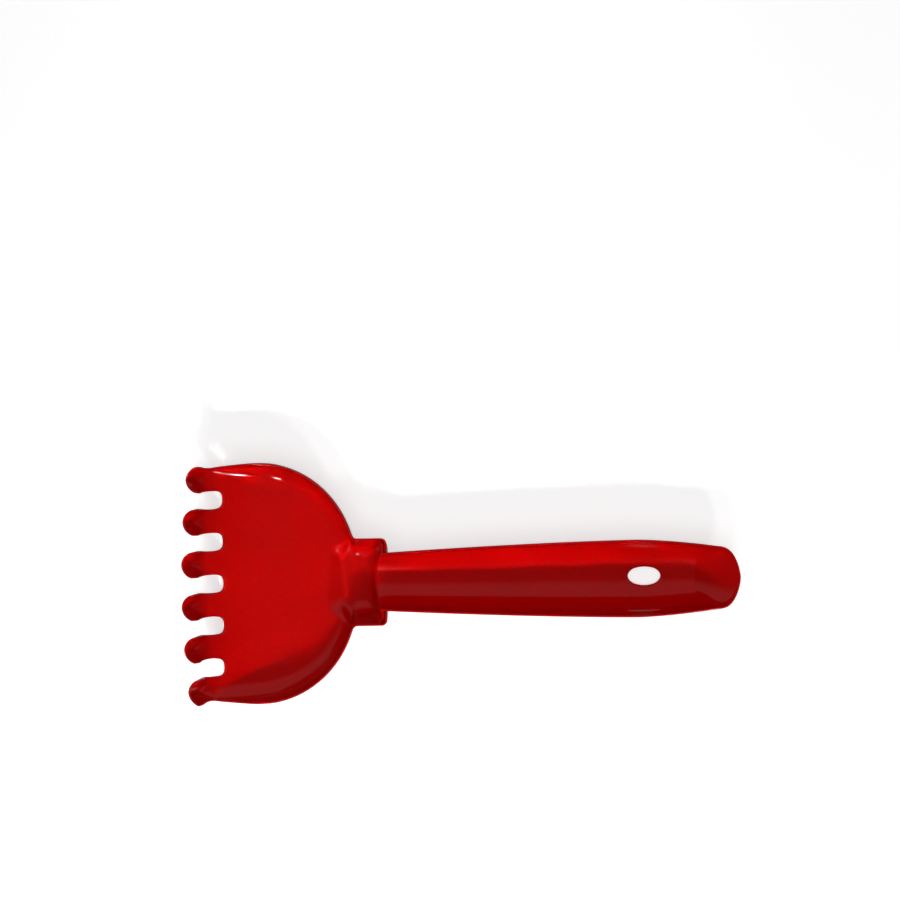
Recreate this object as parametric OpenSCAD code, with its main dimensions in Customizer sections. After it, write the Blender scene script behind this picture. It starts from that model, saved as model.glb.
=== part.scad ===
// Toddler's sand rake, lying on its back with the hollow side up.
// The handle runs along +X and the tines point along -X. The origin lies on the surface
// that the rake rests on, under the middle of the collar.

/* [Head] */
// Widest span of the blade, over its rim
blade_w = 95.5; // [84:0.5:108]
// How much narrower the blade is where the tines start
blade_taper = 3; // [0:0.2:5]
// Distance from the middle of the collar to the blade's widest line
blade_mid_reach = 38.8; // [34:0.2:44]
// Length of the blade's round back, behind its widest line
blade_back_l = 40.8; // [36:0.2:43]
// Thickness of the blade and its rim
blade_wall = 1.8; // [1.4:0.1:2.4]
// Height of the blade's flat floor over the rest, on the hollow side
floor_rise = 5.5; // [4.6:0.1:7]
// Width of the curved wall inside the rim
rim_sweep = 9; // [6:0.5:12]
// Distance from the middle of the collar to where the floor starts to curve up
curl_reach = 26; // [22:1:32]
// Radius of that curve
curl_r = 62; // [56:1:80]

/* [Tines] */
// Width of the outer tines at their roots
outer_tine_w = 9.5; // [8:0.1:11]
// Width of the gaps between the tines
gap_w = 7.6; // [6:0.2:8.6]
// Distance from the middle of the collar to the round ends of the gaps
gap_reach = 53.4; // [50:0.1:56]
// Reach of the middle tines beyond the round ends, in plan
tine_reach = 9.5; // [7:0.5:11]
// How much shorter the outer tines are
tine_setback = 2.3; // [0:0.1:3]
// Slope of the tines at their tips, in degrees
tip_slope = 75; // [66:1:80]
// Height of the raised edges along the tines
tine_edge_h = 2.5; // [1.5:0.1:3]
// Thickness of those edges
tine_edge_wall = 1.6; // [1.2:0.1:2]
// How much wider a tine is at its tip
tip_flare = 1; // [0:0.1:1.6]

/* [Collar] */
// Height of the rim over the rest
rim_h = 16; // [15:0.5:19]
// Length of the collar
collar_l = 23; // [21:0.2:26]
// Width of the collar at the rim
collar_w = 35; // [32:0.5:38]
// How much narrower the collar's back is than its rim, on each side
collar_draft = 1.6; // [0.5:0.1:2.5]
// Thickness of the collar's sides
collar_wall = 2.4; // [2:0.1:2.8]
// Thickness of the collar's floor
collar_floor = 2; // [1.6:0.1:2.6]
// Thickness of the collar's end wall, which the handle passes through
collar_end_wall = 3; // [2.4:0.1:3.6]
// Corner radius of the collar's back
collar_corner_r = 4; // [3:0.5:5]
// Corner radius of the collar's end, in plan
collar_end_r = 2; // [1:0.5:3]
// Corner radius of the collar's hollow next to the blade, in plan
hollow_front_r = 8; // [4:0.5:10]

/* [Handle] */
// Length of the handle beyond the collar
handle_l = 139; // [120:0.1:160]
// Width of the handle at the collar
neck_w = 23; // [21:0.5:25]
// Depth of the handle at the collar
neck_depth = 12.4; // [11:0.2:13.4]
// Width of the handle at its widest
belly_w = 30.4; // [26:0.2:34]
// Distance from the collar to the handle's widest place
belly_reach = 99; // [80:1:104]
// Width of the handle where its round end starts
butt_w = 25; // [22:0.2:26]
// Depth of the handle where its end wall starts
butt_depth = 14; // [11:0.5:15]
// Length of the round end
butt_l = 9.4; // [8:0.2:12]
// Length of the sloping wall that closes the channel
butt_slope_l = 17; // [14:0.5:20]
// Thickness of the handle
handle_wall = 1.7; // [1.4:0.1:2]

/* [Hanging hole] */
// Length of the hole
hole_l = 12.9; // [10:0.1:15]
// Width of the hole
hole_w = 8; // [6:0.1:9]
// Distance from the handle's end to the middle of the hole
hole_from_end = 36.5; // [32:0.1:44]

/* [Joint of head and handle] */
// Thickness of the handle's flange
flange_t = 2.4; // [2:0.1:3]
// Gap between the flange or neck and the collar
joint_gap = 0.15; // [0.1:0.05:0.25]
// Depth of the flange's top under the rim
flange_drop = 1.4; // [1:0.1:2]
// Height of the snap beads over the rest
bead_rise = 8; // [6:0.5:11]
// Reach of the snap beads into the flange
bead_reach = 0.5; // [0.3:0.1:0.8]
// Height of a snap bead
bead_h = 1.8; // [1.2:0.1:2.4]
// Width of a snap bead
bead_w = 1.2; // [0.8:0.1:1.4]

/* [Hidden] */
plastic_red = "#b80000";

// Overrun of the cuts
cut_over = 1;

// Steps of the curved surfaces
tine_steps = 6;
outer_steps = 10;
gap_steps = 6;
blade_rows = 20;
tine_rows = 8;
over_rows = 16;
handle_rows = 44;
butt_rows = 14;
handle_steps = 20;
arc_steps = 8;
hole_steps = 48;
round_fn = 48;

// Powers of the rounded sections: 2 is an ellipse, and more is squarer
rim_power = 2.2;
tine_power = 2.4;
outer_corner_power = 1.7;
// Powers of the handle's swell and of the slope that closes it
swell_power = 1.5;
butt_power = 1.7;

// Share of a tine's length in which its edges rise
edge_rise_share = 0.5;

// Curves

function bent(v, e) = sign(v) * pow(abs(v), e);
function mix(a, b, t) = a + (b - a) * t;
function smooth(t) = let (c = min(max(t, 0), 1)) c * c * (3 - 2 * c);

// Solid between two sheets of points, a back and a hollow side, which share their triangles
// and are joined along their outline

function quad(a, b, c, d) = [
    if (a != b && b != c) [a, b, c],
    if (c != d && d != a) [a, c, d]
];

function grid_triangles(rows, steps, id) = [
    for (i = [0 : rows - 1], j = [0 : steps - 1])
        each quad(id(i, j), id(i + 1, j), id(i + 1, j + 1), id(i, j + 1))
];

// Outline of a grid but for its front edge, which is row 0
function grid_sides(rows, steps, id) = [
    for (i = [0 : rows]) id(i, 0),
    for (j = [1 : steps]) id(rows, j),
    for (i = [rows - 1 : -1 : 0]) id(i, steps)
];

function grid_front(steps, id) = [for (j = [steps - 1 : -1 : 1]) id(0, j)];

module sheet_solid(back, hollow, triangles, outline) {
    n = len(back);
    last = len(outline) - 1;
    polyhedron(
        concat(back, hollow),
        [
            each triangles,
            for (t = triangles) [t[2] + n, t[1] + n, t[0] + n],
            for (k = [0 : last])
                let (a = outline[k], b = outline[k < last ? k + 1 : 0])
                each quad(a, a + n, b + n, b)
        ]
    );
}

// Blade

mid_x = -blade_mid_reach;
curl_x = -curl_reach;
blade_half = blade_w / 2;
front_half = (blade_w - blade_taper) / 2;
rim_sweep_share = rim_sweep / blade_half;

tines = 6;
gaps = tines - 1;
gap_r = gap_w / 2;
outer_gap_y = front_half - outer_tine_w;
tine_pitch = (outer_gap_y - gap_r) * 2 / (gaps - 1);
tine_w = tine_pitch - gap_w;
tine_x = -gap_reach - gap_r;
root_slope = asin((curl_x - tine_x) / curl_r);

function tine_y(n) = (n - (tines - 1) / 2) * tine_pitch;
function gap_y(n) = (n - (gaps - 1) / 2) * tine_pitch;
function is_outer(n) = n == 0 || n == tines - 1;

// Half span of the blade over its rim
function half_span(x) =
    let (t = max(0, (mid_x - x) / (mid_x - tine_x)))
    blade_half - (blade_half - front_half) * t * t;

// Height of the floor, depth under its hollow side
function floor_z(x, depth) =
    let (run = max(0, curl_x - x))
    floor_rise + curl_r - sqrt(pow(curl_r + depth, 2) - run * run);

// End of the blade's round back at y, and place between its middle (0) and its rim (1).
// The inset is 0 on the back and the wall's thickness on the hollow side.
function back_x(y, inset) =
    mid_x + (blade_back_l - inset) * sqrt(max(0, 1 - pow(y / (blade_half - inset), 2)));

function rim_share(x, y, inset) =
    x > mid_x
        ? norm([(x - mid_x) / (blade_back_l - inset), y / (blade_half - inset)])
        : abs(y) / (half_span(x) - inset);

function blade_z(x, y, inset) =
    let (
        base = floor_z(x, blade_wall - inset),
        t = max(0, 1 + (rim_share(x, y, inset) - 1) / rim_sweep_share),
        up_share = 1 - pow(1 - pow(min(1, t), rim_power), 1 / rim_power)
    )
    mix(base, rim_h, up_share);

// Columns across the blade: y on the back, y on the hollow side, depth into the gap's round end
function across(k, steps) = -bent(cos(180 * k / steps), 2 / tine_power);

function outer_tine_columns(side) = [
    for (k = [0 : outer_steps])
        let (s = (1 + side * across(k, outer_steps)) / 2)
        [side * (outer_gap_y + outer_tine_w * s), side * (outer_gap_y + (outer_tine_w - blade_wall) * s), 0]
];

function tine_columns(n) = [
    for (k = [0 : tine_steps])
        let (y = tine_y(n) + tine_w / 2 * across(k, tine_steps))
        [y, y, 0]
];

function gap_columns(n) = [
    for (k = [1 : gap_steps - 1])
        let (a = 180 * k / gap_steps, y = gap_y(n) - gap_r * cos(a))
        [y, y, gap_r * sin(a)]
];

columns = [
    each outer_tine_columns(-1),
    for (n = [0 : gaps - 2]) each concat(gap_columns(n), tine_columns(n + 1)),
    each gap_columns(gaps - 1),
    each outer_tine_columns(1)
];
blade_steps = len(columns) - 1;

function blade_point(i, j, side) =
    let (
        inset = side * blade_wall,
        column = columns[j],
        y_mid = column[side] * (blade_half - inset) / (front_half - inset),
        start = tine_x + column[2] - (blade_wall - inset) * sin(root_slope),
        x = mix(start, back_x(y_mid, inset), sin(90 * i / blade_rows)),
        y = y_mid * (half_span(x) - inset) / (blade_half - inset)
    )
    [x, y, blade_z(x, y, inset)];

// Tines: each is a channel that bends up from the blade. Row 0 is the blade's own edge.
function tine_span(n) = is_outer(n) ? outer_steps : tine_steps;
function tine_column(n) = n == 0 ? 0 : outer_steps + gap_steps + (n - 1) * (tine_steps + gap_steps);

function tine_point(n, r, k, side) =
    let (
        s = r / tine_rows,
        slope = mix(root_slope, tip_slope, s),
        bend_r = tine_reach / (sin(tip_slope) - sin(root_slope)),
        reach_share = 1 - tine_setback / tine_reach * pow(tine_y(n) / tine_y(0), 2),
        x = tine_x - bend_r * (sin(slope) - sin(root_slope)) * reach_share,
        z = floor_z(tine_x, 0) + bend_r * (cos(root_slope) - cos(slope)),
        root_w = is_outer(n) ? outer_tine_w : tine_w,
        root_y = is_outer(n) ? sign(tine_y(n)) * (outer_gap_y + outer_tine_w / 2) : tine_y(n),
        half = (mix(root_w, tine_w, s) + tip_flare * s) / 2,
        turn = 180 * k / tine_span(n),
        on_rim = is_outer(n) && cos(turn) * tine_y(n) < 0,
        grown = smooth(s / edge_rise_share),
        edge_h = on_rim ? mix(rim_h - floor_z(tine_x, 0), tine_edge_h, s) : tine_edge_h * grown,
        edge_wall = on_rim ? mix(blade_wall, tine_edge_wall, s) : tine_edge_wall * grown,
        power = on_rim ? mix(tine_power, outer_corner_power, s) : tine_power,
        up_share = 1 - bent(sin(turn), 2 / power),
        up = side == 1 ? edge_h * up_share : mix(-blade_wall, edge_h, up_share)
    )
    [
        x + up * sin(slope),
        mix(root_y, tine_y(n), s) - bent(cos(turn), 2 / power) * (half - side * edge_wall),
        z + up * cos(slope)
    ];

module blade_and_tines() {
    blade_size = (blade_rows + 1) * (blade_steps + 1);
    tine_sizes = [for (n = [0 : tines - 1]) tine_rows * (tine_span(n) + 1)];
    tine_first = [for (n = 0, at = blade_size; n < tines; at = at + tine_sizes[n], n = n + 1) at];
    blade_id = function (i, j) i * (blade_steps + 1) + j;
    tine_id = function (n) function (r, k)
        r == 0 ? tine_column(n) + k : tine_first[n] + (r - 1) * (tine_span(n) + 1) + k;
    function side_points(side) = [
        for (i = [0 : blade_rows], j = [0 : blade_steps]) blade_point(i, j, side),
        for (n = [0 : tines - 1], r = [1 : tine_rows], k = [0 : tine_span(n)]) tine_point(n, r, k, side)
    ];
    function gap_front(n) = [for (k = [gap_steps - 1 : -1 : 1]) tine_column(n) + tine_span(n) + k];
    // Seen from the back, a tine's rows run the other way from the blade's
    function tine_triangles(n) = [
        for (t = grid_triangles(tine_rows, tine_span(n), tine_id(n))) [t[2], t[1], t[0]]
    ];
    function tine_sides(n) =
        let (path = grid_sides(tine_rows, tine_span(n), tine_id(n)), e = len(path) - 1)
        [for (k = [e : -1 : 0]) path[k]];
    blade_sides = grid_sides(blade_rows, blade_steps, blade_id);
    sheet_solid(
        side_points(0),
        side_points(1),
        [
            each grid_triangles(blade_rows, blade_steps, blade_id),
            for (n = [0 : tines - 1]) each tine_triangles(n)
        ],
        [
            for (k = [1 : len(blade_sides) - 2]) blade_sides[k],
            for (n = [tines - 1 : -1 : 0]) each concat(tine_sides(n), n > 0 ? gap_front(n - 1) : [])
        ]
    );
}

// Collar

collar_end = collar_l / 2;
end_wall_x = collar_end - collar_end_wall;
flange_x = end_wall_x - flange_t;
hollow_r = collar_corner_r - collar_wall / 2;

// Half width over the collar's sides, and of its hollow
function collar_half(z) = collar_w / 2 - collar_draft * (rim_h - z) / rim_h;
function hollow_half(z) = collar_half(z) - collar_wall;

// Section of a trough from bottom to top, with leaning sides, round corners and room around it
function trough(half, bottom, top, r, room) = [
    for (side = [1, -1], k = [0 : arc_steps + 1])
        let (n = side > 0 ? k : arc_steps + 1 - k, a = 90 * n / arc_steps - 90)
        n > arc_steps
            ? [side * (half(top) - room), top]
            : [side * (half(bottom + r) - room - r + r * cos(a)), bottom + r + r * sin(a)]
];

// Extrudes a section of [y, z] points along X
module along_x(points, from, to) {
    translate([from, 0, 0])
        rotate([90, 0, 90])
            linear_extrude(to - from)
                polygon(points);
}

module collar_block() {
    half = collar_w / 2;
    tall = rim_h + 2 * cut_over;
    intersection() {
        along_x(trough(function (z) collar_half(z), 0, rim_h, collar_corner_r, 0), -collar_end, collar_end);
        translate([-collar_end, 0, -cut_over])
            union() {
                translate([0, -half, 0])
                    cube([collar_l - collar_end_r, collar_w, tall]);
                translate([0, collar_end_r - half, 0])
                    cube([collar_l, collar_w - 2 * collar_end_r, tall]);
                for (y = [collar_end_r - half, half - collar_end_r])
                    translate([collar_l - collar_end_r, y, 0])
                        cylinder(h = tall, r = collar_end_r, $fn = round_fn);
            }
    }
}

// Space over the middle of the blade's thickness, which the collar's block keeps clear of
module over_blade() {
    inset = blade_wall / 2;
    half = collar_w / 2 + blade_wall;
    id = function (i, j) i * (over_rows + 1) + j;
    function plan(i, j) =
        let (y = mix(-half, half, j / over_rows))
        [mix(-collar_l, back_x(y, inset), sin(90 * i / over_rows)), y];
    plans = [for (i = [0 : over_rows], j = [0 : over_rows]) plan(i, j)];
    sheet_solid(
        [for (p = plans) [p[0], p[1], blade_z(p[0], p[1], inset)]],
        [for (p = plans) [p[0], p[1], rim_h + cut_over]],
        grid_triangles(over_rows, over_rows, id),
        concat(grid_sides(over_rows, over_rows, id), grid_front(over_rows, id))
    );
}

module collar_hollow() {
    front = collar_wall - collar_end;
    top = rim_h + cut_over;
    half = hollow_half(rim_h);
    corner_y = half - hollow_front_r;
    intersection() {
        along_x(trough(function (z) hollow_half(z), collar_floor, top, hollow_r, 0), front, end_wall_x);
        translate([front + hollow_front_r, 0, 0])
            linear_extrude(top + cut_over)
                union() {
                    translate([0, -half - cut_over])
                        square([collar_l, 2 * (half + cut_over)]);
                    translate([-hollow_front_r, -corner_y])
                        square([collar_l, 2 * corner_y]);
                    for (y = [-corner_y, corner_y])
                        translate([0, y])
                            circle(r = hollow_front_r, $fn = round_fn);
                }
    }
}

// Snap beads on the collar's sides, which hold the flange down, with room around them
module snap_beads(room) {
    inner = hollow_half(bead_rise) - bead_reach - room;
    outer = hollow_half(bead_rise) + collar_wall / 2;
    wide = bead_w + 2 * room;
    high = bead_h + 2 * room;
    for (side = [0, 1])
        mirror([0, side, 0])
            translate([flange_x + (flange_t - wide) / 2, inner, bead_rise - high / 2])
                cube([wide, outer - inner, high]);
}

module rake_head() {
    color(plastic_red)
        union() {
            difference() {
                union() {
                    blade_and_tines();
                    difference() {
                        collar_block();
                        over_blade();
                    }
                }
                collar_hollow();
                along_x(neck_section(joint_gap), end_wall_x - cut_over, collar_end + cut_over);
            }
            snap_beads(0);
        }
}

// Handle

handle_end = collar_end + handle_l;
slope_start = handle_l - butt_slope_l;
butt_start = handle_l - butt_l;

// A size that runs from the neck over the belly to the butt, u beyond the collar
function swell(u, neck, belly, butt) =
    u < belly_reach
        ? mix(belly, neck, pow((belly_reach - max(0, u)) / belly_reach, swell_power))
        : mix(belly, butt, pow((min(u, butt_start) - belly_reach) / (butt_start - belly_reach), swell_power));

function handle_half(u, inset) =
    let (t = max(0, (u - butt_start) / (butt_l - inset)))
    (swell(u, neck_w, belly_w, butt_w) / 2 - inset) * sqrt(max(0, 1 - t * t));

function handle_depth(u, inset) =
    let (t = max(0, (u - slope_start) / (butt_slope_l - inset)))
    (swell(u, neck_depth, rim_h, butt_depth) - inset) * (1 - pow(min(1, t), butt_power));

// Section of the neck, open at the rim, with room around it
function neck_section(room) = [
    [neck_w / 2 + room, rim_h + cut_over],
    [-neck_w / 2 - room, rim_h + cut_over],
    for (k = [0 : handle_steps])
        let (a = 180 - 180 * k / handle_steps)
        [(neck_w / 2 + room) * cos(a), rim_h - (neck_depth + room) * sin(a)]
];

function handle_point(i, j, side) =
    let (
        inset = side * handle_wall,
        body_rows = handle_rows - butt_rows,
        u = i <= body_rows
            ? mix(flange_x - collar_end, slope_start, i / body_rows)
            : mix(slope_start, handle_l - inset, sin(90 * (i - body_rows) / butt_rows)),
        a = 180 - 180 * j / handle_steps
    )
    [
        collar_end + u,
        handle_half(u, inset) * cos(a),
        rim_h - handle_depth(u, inset) * sin(a)
    ];

// The open channel, whose last row is one point
module channel() {
    tip = handle_rows * (handle_steps + 1);
    id = function (i, j) i < handle_rows ? i * (handle_steps + 1) + j : tip;
    function side_points(side) = [
        for (i = [0 : handle_rows - 1], j = [0 : handle_steps]) handle_point(i, j, side),
        handle_point(handle_rows, 0, side)
    ];
    sheet_solid(
        side_points(0),
        side_points(1),
        grid_triangles(handle_rows, handle_steps, id),
        concat(grid_sides(handle_rows, handle_steps, id), grid_front(handle_steps, id))
    );
}

// The flange that sits in the collar, behind its end wall
module flange() {
    top = rim_h - flange_drop;
    difference() {
        along_x(
            trough(function (z) hollow_half(z), collar_floor, top, hollow_r, joint_gap),
            flange_x, end_wall_x
        );
        along_x(neck_section(-handle_wall / 2), flange_x - cut_over, end_wall_x + cut_over);
        snap_beads(joint_gap);
    }
}

module hanging_hole() {
    translate([handle_end - hole_from_end, 0, -cut_over])
        linear_extrude(rim_h)
            polygon([
                for (k = [0 : hole_steps - 1])
                    let (a = 360 * k / hole_steps)
                    [hole_l / 2 * cos(a), hole_w / 2 * sin(a)]
            ]);
}

module handle() {
    color(plastic_red)
        difference() {
            union() {
                channel();
                flange();
            }
            hanging_hole();
        }
}

rake_head();
handle();
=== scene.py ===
"""Looks of a toddler's sand rake: a moulded head with tines and a collar, and a channel handle."""

import logging
import math
from collections.abc import Callable, Iterator
from contextlib import contextmanager
from dataclasses import dataclass
from enum import Enum

import bpy
import numpy as np
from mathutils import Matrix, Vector


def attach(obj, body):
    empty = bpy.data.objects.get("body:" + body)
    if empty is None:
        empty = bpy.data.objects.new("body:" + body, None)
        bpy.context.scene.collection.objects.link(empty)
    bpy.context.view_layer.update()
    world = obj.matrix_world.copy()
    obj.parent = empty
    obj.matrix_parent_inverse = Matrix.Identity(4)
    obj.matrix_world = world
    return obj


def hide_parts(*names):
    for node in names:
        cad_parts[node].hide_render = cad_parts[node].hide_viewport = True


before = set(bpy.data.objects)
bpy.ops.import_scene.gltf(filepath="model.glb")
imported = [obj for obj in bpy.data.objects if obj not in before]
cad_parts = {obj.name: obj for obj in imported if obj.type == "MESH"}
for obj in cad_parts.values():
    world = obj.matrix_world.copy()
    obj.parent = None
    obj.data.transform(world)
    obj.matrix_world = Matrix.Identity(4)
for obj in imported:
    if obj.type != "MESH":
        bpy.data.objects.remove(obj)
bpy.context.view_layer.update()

LOG = logging.getLogger("sand_rake")
MM = 0.001
TINY = 1e-6
Array = np.ndarray
Colour = tuple[float, ...]
Place = tuple[float, float, float]


class Lamp(Enum):
    """The studio's lamps."""

    OVERHEAD = "overhead softbox"
    KEY = "key softbox"
    FIRST_SPOT = "first spot"
    SECOND_SPOT = "second spot"


def mix(a: Array | float, b: Array | float, t: Array | float) -> Array | float:
    """Blends from a, at t = 0, to b, at t = 1."""
    return a + (b - a) * t


def clamp(v: Array | float) -> Array | float:
    """Keeps v between 0 and 1."""
    return np.clip(v, 0.0, 1.0)


def ease(t: Array | float) -> Array | float:
    """Eases from 0 to 1 over t from 0 to 1."""
    c = clamp(t)
    return c * c * (3.0 - 2.0 * c)


def bent(v: Array | float, power: Array | float) -> Array | float:
    """Raises v's size to a power and keeps its sign."""
    return np.sign(v) * np.abs(v) ** power


def grey(level: float) -> Colour:
    """Makes an even grey."""
    return (level, level, level, 1.0)


def spaced(*stops: tuple[float, int]) -> Array:
    """Places points in runs of even steps.

    Args:
        stops: pairs of a place and the number of steps that lead to it; the first has no steps.

    Returns:
        The places, from the first stop to the last.
    """
    places = [stops[0][0]]
    for (start, _), (stop, steps) in zip(stops, stops[1:]):
        places += [start + (stop - start) * k / steps for k in range(1, steps + 1)]
    return np.array(places)


def rounded_most(a: Array, b: Array, radius: float) -> Array:
    """Takes the greater of two distances, with the corner where they meet rounded.

    Args:
        a, b: distances from two walls, below 0 inside.
        radius: the corner's radius.

    Returns:
        The distance from the rounded shape.
    """
    reach = np.hypot(np.maximum(radius + a, 0.0), np.maximum(radius + b, 0.0))
    return np.minimum(-radius, np.maximum(a, b)) + reach


def rounded_least(a: Array, b: Array, radius: Array) -> Array:
    """Takes the lesser of two distances, with the corner where they meet rounded.

    Args:
        a, b: distances from two walls, below 0 inside.
        radius: the corner's radius.

    Returns:
        The distance from the rounded shape.
    """
    reach = np.hypot(np.maximum(radius - a, 0.0), np.maximum(radius - b, 0.0))
    return np.maximum(radius, np.minimum(a, b)) - reach


class Workbench:
    """Mesh tools that act on one object at a time, as by hand."""

    @staticmethod
    def pick(piece: bpy.types.Object) -> None:
        """Selects one object alone and makes it active.

        Args:
            piece: the object.
        """
        bpy.ops.object.select_all(action="DESELECT")
        piece.select_set(True)
        bpy.context.view_layer.objects.active = piece

    @classmethod
    @contextmanager
    def editing(cls, piece: bpy.types.Object) -> Iterator[None]:
        """Holds a piece in edit mode, with all of it selected.

        Args:
            piece: the piece.

        Yields:
            Nothing; the piece is back in object mode afterwards.
        """
        cls.pick(piece)
        bpy.ops.object.mode_set(mode="EDIT")
        bpy.ops.mesh.select_all(action="SELECT")
        yield
        bpy.ops.object.mode_set(mode="OBJECT")

    @classmethod
    @contextmanager
    def editing_faces(
        cls, piece: bpy.types.Object, wanted: Callable[[bpy.types.MeshPolygon], bool]
    ) -> Iterator[None]:
        """Holds a piece in edit mode, with some of its faces selected.

        Args:
            piece: the piece.
            wanted: tells whether a face is to be selected.

        Yields:
            Nothing; the piece is back in object mode afterwards.
        """
        cls.pick(piece)
        bpy.ops.object.mode_set(mode="EDIT")
        bpy.ops.mesh.select_mode(type="FACE")
        bpy.ops.mesh.select_all(action="DESELECT")
        bpy.ops.object.mode_set(mode="OBJECT")
        for face in piece.data.polygons:
            face.select = wanted(face)
        bpy.ops.object.mode_set(mode="EDIT")
        yield
        bpy.ops.object.mode_set(mode="OBJECT")

    @staticmethod
    def grid(name: str, rows: int, columns: int) -> tuple[bpy.types.Object, Array, Array]:
        """Adds a flat grid to be shaped.

        Args:
            name: the piece's name.
            rows: faces along Y.
            columns: faces along X.

        Returns:
            The object, and the row and the column of each of its points.
        """
        side = 1.0
        bpy.ops.object.select_all(action="DESELECT")
        bpy.ops.mesh.primitive_grid_add(x_subdivisions=columns, y_subdivisions=rows, size=side)
        piece = bpy.context.object
        piece.name = piece.data.name = name
        flat = np.empty(len(piece.data.vertices) * 3)
        piece.data.vertices.foreach_get("co", flat)
        share = flat.reshape(-1, 3) / side + 0.5
        row = np.rint(share[:, 1] * rows).astype(int)
        column = np.rint(share[:, 0] * columns).astype(int)
        return piece, row, column

    @staticmethod
    def shape(piece: bpy.types.Object, points: Array) -> None:
        """Moves every point of a piece to its place, in millimetres."""
        piece.data.vertices.foreach_set("co", (points * MM).ravel())
        piece.data.update()

    @classmethod
    def cut_away(cls, piece: bpy.types.Object, unwanted: Callable[[list[int]], bool]) -> None:
        """Deletes the faces of a piece whose list of points is unwanted."""
        with cls.editing_faces(piece, lambda face: unwanted(list(face.vertices))):
            bpy.ops.mesh.delete(type="FACE")

    @classmethod
    def merge(cls, piece: bpy.types.Object, reach: float) -> None:
        """Merges points that lie within reach of each other, in millimetres."""
        with cls.editing(piece):
            bpy.ops.mesh.remove_doubles(threshold=reach * MM)

    @classmethod
    def point_faces_up(cls, piece: bpy.types.Object) -> None:
        """Turns all faces of an open sheet to one side, the hollow one.

        Args:
            piece: the sheet, hollow side up.
        """
        with cls.editing(piece):
            bpy.ops.mesh.normals_make_consistent(inside=False)
        if sum(face.normal.z * face.area for face in piece.data.polygons) < 0.0:
            with cls.editing(piece):
                bpy.ops.mesh.flip_normals()

    @classmethod
    def modify(cls, piece: bpy.types.Object, kind: str, **settings: object) -> None:
        """Adds a modifier and applies it.

        Args:
            piece: the piece.
            kind: the modifier's type.
            settings: its settings, by name.
        """
        cls.pick(piece)
        modifier = piece.modifiers.new(kind.title(), kind)
        for name, value in settings.items():
            setattr(modifier, name, value)
        bpy.ops.object.modifier_apply(modifier=modifier.name)

    @classmethod
    def flatten_rim(cls, piece: bpy.types.Object, height: float, reach: float) -> None:
        """Flattens the rim that thicken gave a piece, where it lies near a height.

        Args:
            piece: the piece.
            height: the height to flatten the rim at, in millimetres.
            reach: how far below the height a rim face may lie, in millimetres.
        """

        def on_rim(face: bpy.types.MeshPolygon) -> bool:
            """Tells whether a face lies on the rim, near the height."""
            return face.material_index > 0 and face.center.z > (height - reach) * MM

        middle = (0.0, 0.0, height * MM)
        with cls.editing_faces(piece, on_rim):
            bpy.ops.transform.resize(value=(1.0, 1.0, 0.0), center_override=middle)

    @staticmethod
    def mark_walls(piece: bpy.types.Object, walls: Array) -> None:
        """Notes the wall that each point of a sheet is to get, in millimetres."""
        piece.data.attributes.new("wall", "FLOAT", "POINT").data.foreach_set("value", walls)

    @classmethod
    def thicken(cls, piece: bpy.types.Object) -> None:
        """Gives an open sheet the walls noted on it, on the side away from its faces.

        Args:
            piece: the sheet; its rim faces get the material index 1, so that they can be found.
        """
        noted = piece.data.attributes["wall"]
        walls = np.empty(len(piece.data.vertices))
        noted.data.foreach_get("value", walls)
        piece.data.attributes.remove(noted)
        thickest = float(walls.max())
        group = piece.vertex_groups.new(name="wall")
        for index, wall in enumerate(walls):
            group.add([index], float(wall) / thickest, "REPLACE")
        cls.modify(
            piece, "SOLIDIFY", thickness=thickest * MM, offset=-1.0, vertex_group="wall",
            use_quality_normals=True, material_offset_rim=1,
        )
        piece.vertex_groups.clear()

    @classmethod
    def round_edges(cls, piece: bpy.types.Object) -> None:
        """Rounds the rim of a piece, as a moulding's is, and smooths its faces."""
        cls.modify(piece, "SUBSURF", levels=1, render_levels=1)
        bpy.ops.object.shade_smooth()


class Socket:
    """A shader socket that takes part in Python expressions."""

    def __init__(self, graph: "Graph", socket: bpy.types.NodeSocket | None) -> None:
        """Wraps a node's output, or nothing where the node has none."""
        self.graph = graph
        self.socket = socket

    def _math(self, operation: str, *operands: "Socket | float") -> "Socket":
        """Adds a Math node."""
        inputs = dict(enumerate(operands))
        return self.graph.node("ShaderNodeMath", {"operation": operation}, inputs)

    def __add__(self, other: "Socket | float") -> "Socket":
        """Adds."""
        return self._math("ADD", self, other)

    def __radd__(self, other: float) -> "Socket":
        """Adds, from the right."""
        return self._math("ADD", other, self)

    def __mul__(self, other: "Socket | float") -> "Socket":
        """Multiplies."""
        return self._math("MULTIPLY", self, other)

    def __rmul__(self, other: float) -> "Socket":
        """Multiplies, from the right."""
        return self._math("MULTIPLY", other, self)

    def above(self, low: float, high: float) -> "Socket":
        """Maps low to 0 and high to 1, eased and clamped."""
        limits = {"Value": self, "From Min": low, "From Max": high}
        return self.graph.node("ShaderNodeMapRange", {"interpolation_type": "SMOOTHSTEP"}, limits)


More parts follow.
